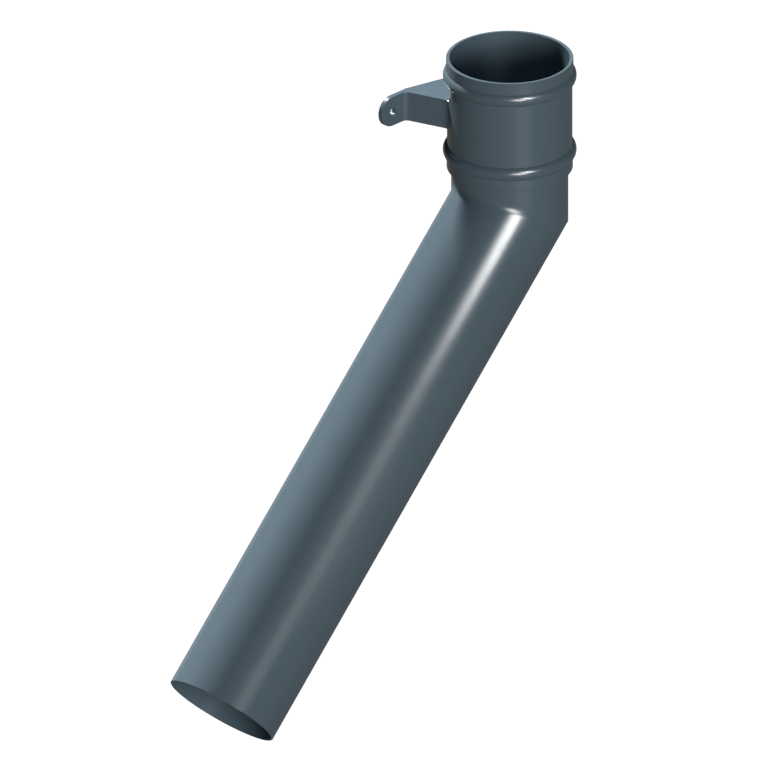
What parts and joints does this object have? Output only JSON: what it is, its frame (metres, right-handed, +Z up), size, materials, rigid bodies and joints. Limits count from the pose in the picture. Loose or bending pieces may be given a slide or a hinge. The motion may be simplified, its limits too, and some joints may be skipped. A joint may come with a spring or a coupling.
{
  "type": "downpipe elbow",
  "caption": "Rainwater downpipe elbow: a beaded socket with wall ears, above a long plain tail that slants down to one side.",
  "frame": {"origin": "centre of the socket mouth, in the plane of its rim", "axes": "+Z up out of the socket, +Y towards the wall that the ears are fixed to, -X the side that the tail runs down to"},
  "size_m": [0.4856, 0.133, 0.5405],
  "materials": {
    "powder_coat": "semi-gloss slate grey powder coat over aluminium"
  },
  "bodies": {
    "root": {"eared_collar": "powder_coat", "neck_tube": "powder_coat", "tail_tube": "powder_coat"}
  },
  "joints": []
}
